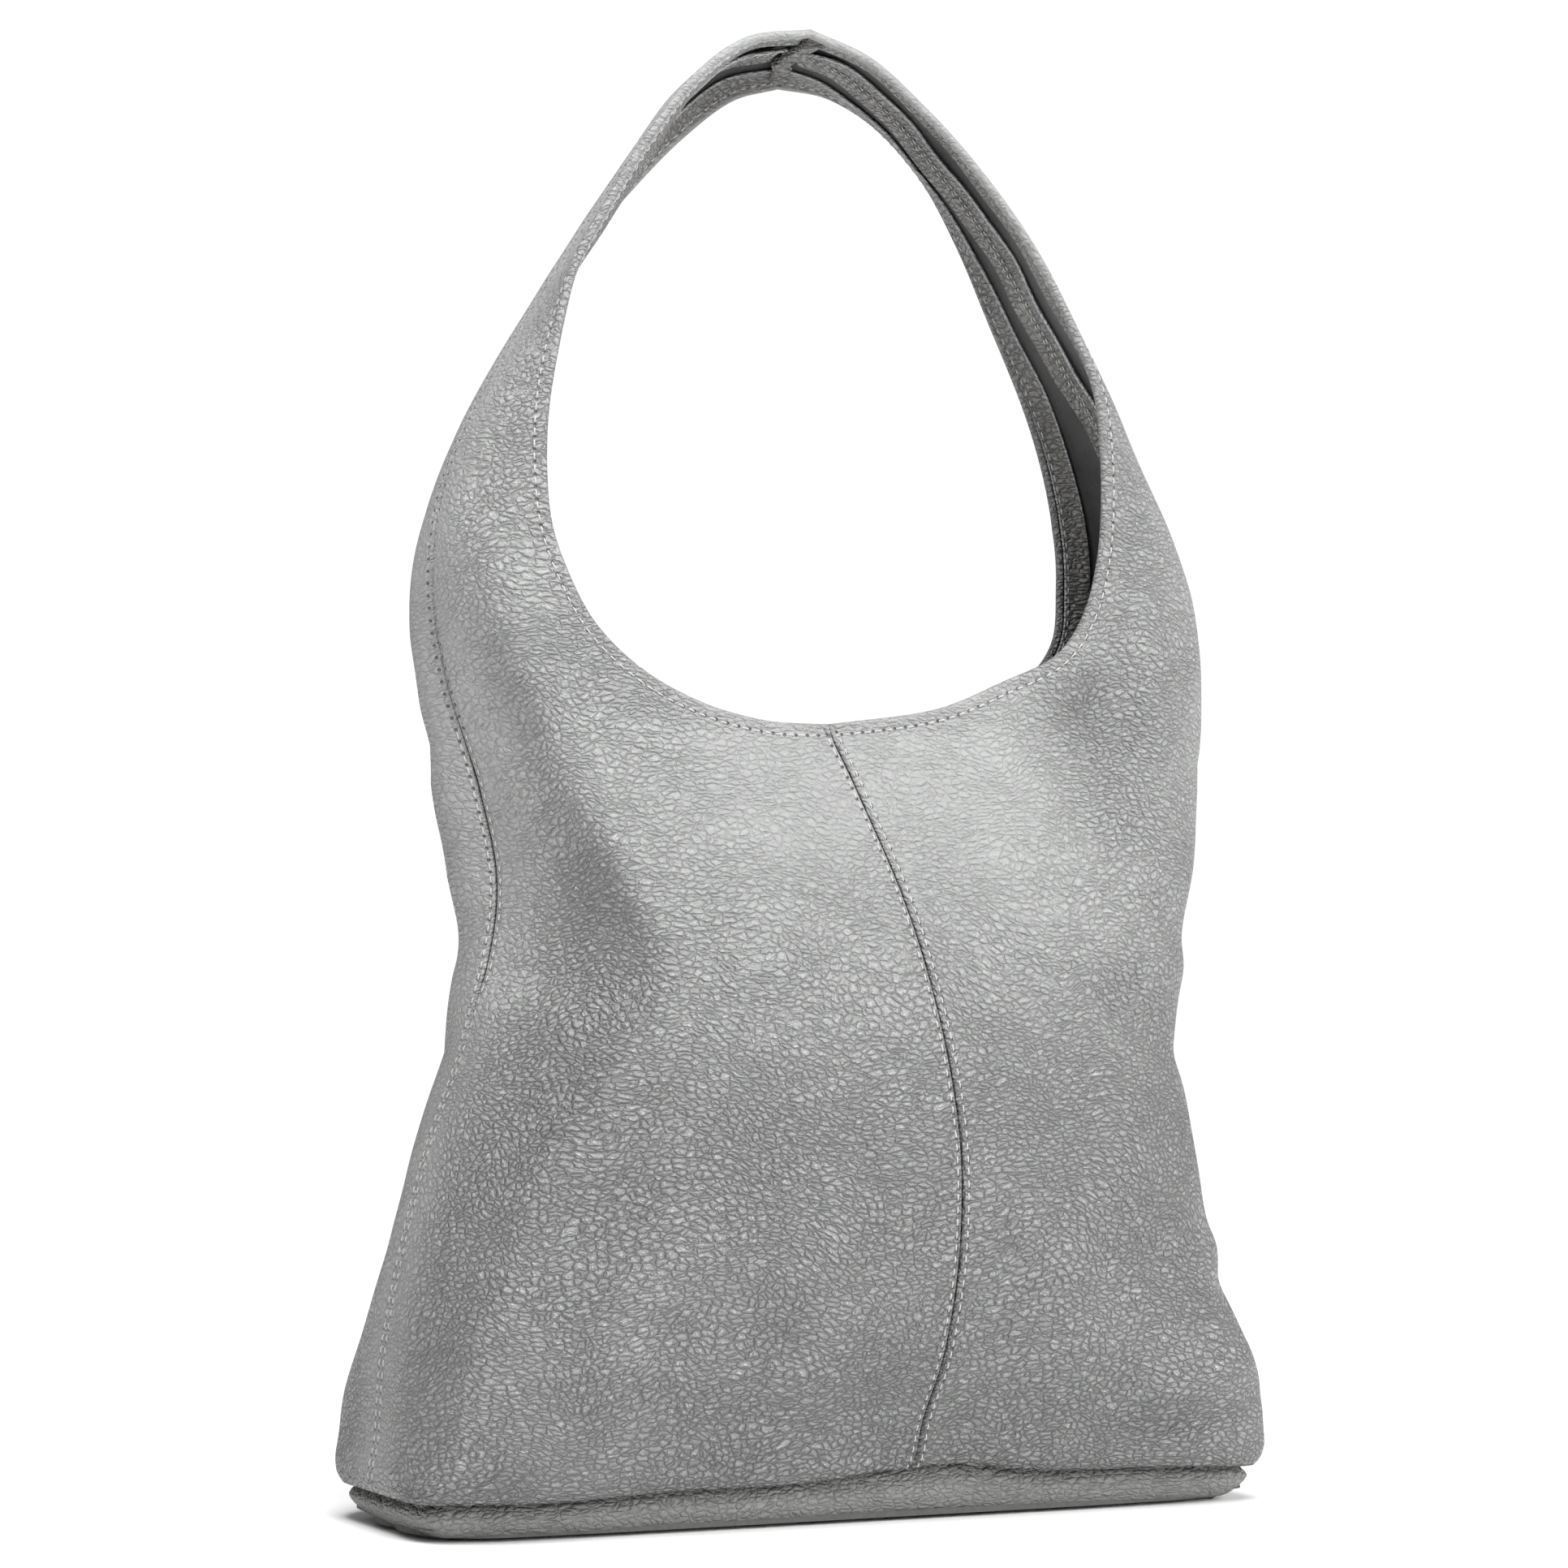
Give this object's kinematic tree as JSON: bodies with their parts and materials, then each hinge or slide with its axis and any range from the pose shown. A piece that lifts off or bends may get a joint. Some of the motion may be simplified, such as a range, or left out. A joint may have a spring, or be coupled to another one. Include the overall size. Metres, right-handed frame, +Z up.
{
  "type": "hobo bag",
  "caption": "Slouchy open-top hobo shoulder bag in soft pebbled leather, its panels running up into one arched strap; flat base, magnetic snap tabs inside the rim.",
  "frame": {"origin": "on the floor, under the middle of the base", "axes": "+Z up, +X along the bag's width, the front faces -Y"},
  "size_m": [0.3864, 0.1868, 0.617],
  "materials": {
    "pebbled_leather": "semi-gloss light grey pebbled leather",
    "trim_leather": "the same leather, grain side out, on facings and tapes",
    "suede_side": "matt dark grey suede side of the leather",
    "board": "flexible stiffener board",
    "snap_metal": "nickel-coloured magnetic snap"
  },
  "bodies": {
    "bag": {"front_left_panel": "pebbled_leather", "front_right_panel": "pebbled_leather", "back_left_panel": "pebbled_leather", "back_right_panel": "pebbled_leather", "front_left_rim_facing": "trim_leather", "front_right_rim_facing": "trim_leather", "back_left_rim_facing": "trim_leather", "back_right_rim_facing": "trim_leather", "side_seam_tape_left": "trim_leather", "side_seam_tape_right": "trim_leather", "base_panel": "pebbled_leather", "base_board": "board", "base_cover": "suede_side"},
    "strap": {"front_left_strap_arm": "pebbled_leather", "front_right_strap_arm": "pebbled_leather", "back_left_strap_arm": "pebbled_leather", "back_right_strap_arm": "pebbled_leather", "front_left_strap_facing": "trim_leather", "front_right_strap_facing": "trim_leather", "back_left_strap_facing": "trim_leather", "back_right_strap_facing": "trim_leather", "strap_tape_left": "trim_leather", "strap_tape_right": "trim_leather", "crown_tape": "trim_leather"},
    "front_tab": {"snap_tab_front": "trim_leather", "snap_socket": "snap_metal", "snap_washer_front": "snap_metal"},
    "back_tab": {"snap_tab_back": "trim_leather", "snap_stud": "snap_metal", "snap_washer_back": "snap_metal"}
  },
  "joints": [
    {"name": "strap_fold", "type": "hinge", "parent": "bag", "child": "strap", "pos_m": [0, 0, 0.405], "axis": [1, 0, 0], "range_deg": [-60, 60]},
    {"name": "front_tab_swing", "type": "hinge", "parent": "bag", "child": "front_tab", "pos_m": [0, -0.0332, 0.317], "axis": [1, 0, 0], "range_deg": [0, 70]},
    {"name": "back_tab_swing", "type": "hinge", "parent": "bag", "child": "back_tab", "pos_m": [0, 0.0332, 0.317], "axis": [1, 0, 0], "range_deg": [-70, 0]}
  ]
}
